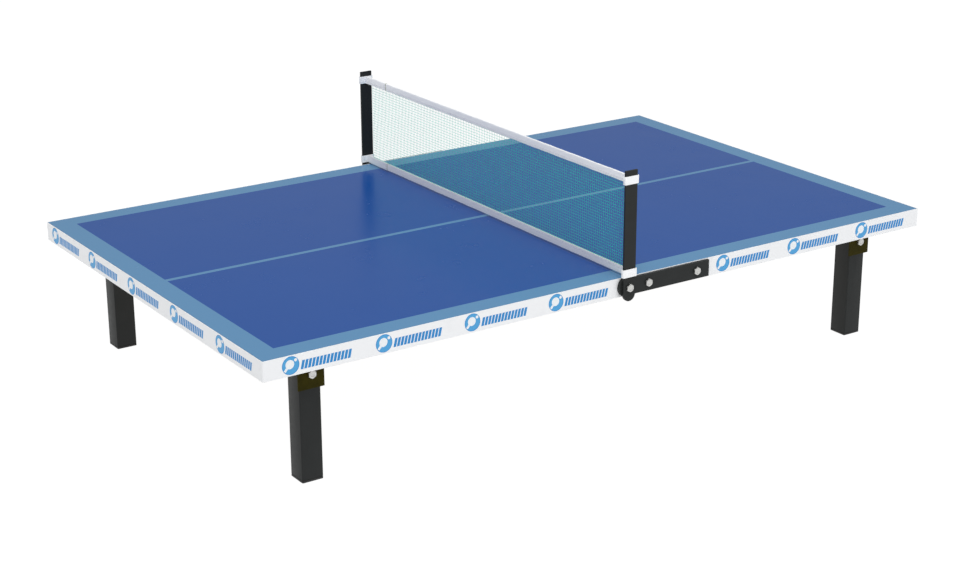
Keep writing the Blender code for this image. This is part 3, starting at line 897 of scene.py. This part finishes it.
BODIES = frame["record"]["behaviour"]["bodies"]
BODY_OF = {node: body for body, nodes in BODIES.items() for node in nodes}
HINGE = ("hinge_left_leaf", "hinge_right_leaf", "hinge_pin")

for side, label, body in ((1, "right", "root"), (-1, "left", "left_half")):
    board(side, label, body)
    edge_band(side, label, body)
    printed_marks(side, label, body)

for node, body in BODY_OF.items():
    if "screw" in node:
        cross_screw(node, body)
    elif "bolt" in node:
        hex_bolt(node, body)
    elif node.endswith("_nut"):
        lock_nut(node, body)
    elif node.endswith("leg_bracket"):
        leg_bracket(node, body)
    elif node in HINGE:
        refined(node, body, [ZINC], 0.12 * MM, 2)
    elif node.startswith(("net_post", "net_arm")):
        refined(node, body, [STEEL, STEEL_EDGE], 0.35 * MM)
    elif node.endswith("leg_tube"):
        refined(node, body, [STEEL, STEEL_EDGE], 0.25 * MM)
    elif node.endswith("foot_cap"):
        refined(node, body, [FOOT], 0.35 * MM)

net_threads()
net_tapes()


# ---- floor, light and camera -------------------------------------------------------------

VIEW_PLACE = Vector((-1.2689, -1.8890, 0.8717))
VIEW_AHEAD = Vector((0.52529, 0.78334, -0.33235))
VIEW_RIGHT = Vector((0.83000, -0.55776, -0.00279))
FOCAL_LENGTH, SENSOR_WIDTH = 73.18, 36.0  # in millimetres
FLOOR_REACH = 14
TABLE_MIDDLE = Vector((0, 0, 0.1))


def add_floor():
    """A large plain floor under the table."""
    bm = bmesh.new()
    bmesh.ops.create_grid(bm, x_segments=8, y_segments=8, size=FLOOR_REACH)
    mesh = bpy.data.meshes.new("floor")
    bm.to_mesh(mesh)
    bm.free()
    mesh.materials.append(studio_floor("studio_floor"))
    floor = bpy.data.objects.new("floor", mesh)
    scene.collection.objects.link(floor)


def add_softbox(name, place, size, power):
    """A round soft light over the table, turned to its middle."""
    light = bpy.data.lights.new(name, "AREA")
    light.shape = "DISK"
    light.size = size
    light.energy = power
    lamp = bpy.data.objects.new(name, light)
    lamp.location = place
    lamp.rotation_euler = (TABLE_MIDDLE - Vector(place)).to_track_quat("-Z", "Y").to_euler()
    scene.collection.objects.link(lamp)


def add_sky(colour, strength):
    """An even light from all round."""
    world = bpy.data.worlds.new("studio")
    world.use_nodes = True
    background = world.node_tree.nodes["Background"]
    background.inputs["Color"].default_value = (*colour, 1)
    background.inputs["Strength"].default_value = strength
    scene.world = world


def add_camera():
    """The camera, square to the way it looks."""
    up = VIEW_RIGHT.cross(VIEW_AHEAD).normalized()
    right = VIEW_AHEAD.cross(up).normalized()
    turn = Matrix((right, up, -VIEW_AHEAD.normalized())).transposed()
    lens = bpy.data.cameras.new("camera")
    lens.lens, lens.sensor_width = FOCAL_LENGTH, SENSOR_WIDTH
    camera = bpy.data.objects.new("camera", lens)
    camera.matrix_world = Matrix.Translation(VIEW_PLACE) @ turn.to_4x4()
    scene.collection.objects.link(camera)
    scene.camera = camera


add_floor()
add_sky((0.97, 0.99, 1.0), 0.42)
add_softbox("key", (-0.3, -1.6, 3.2), size=2.6, power=58)
add_softbox("top", (-0.5, 0.8, 3.6), size=3.0, power=27)
add_camera()
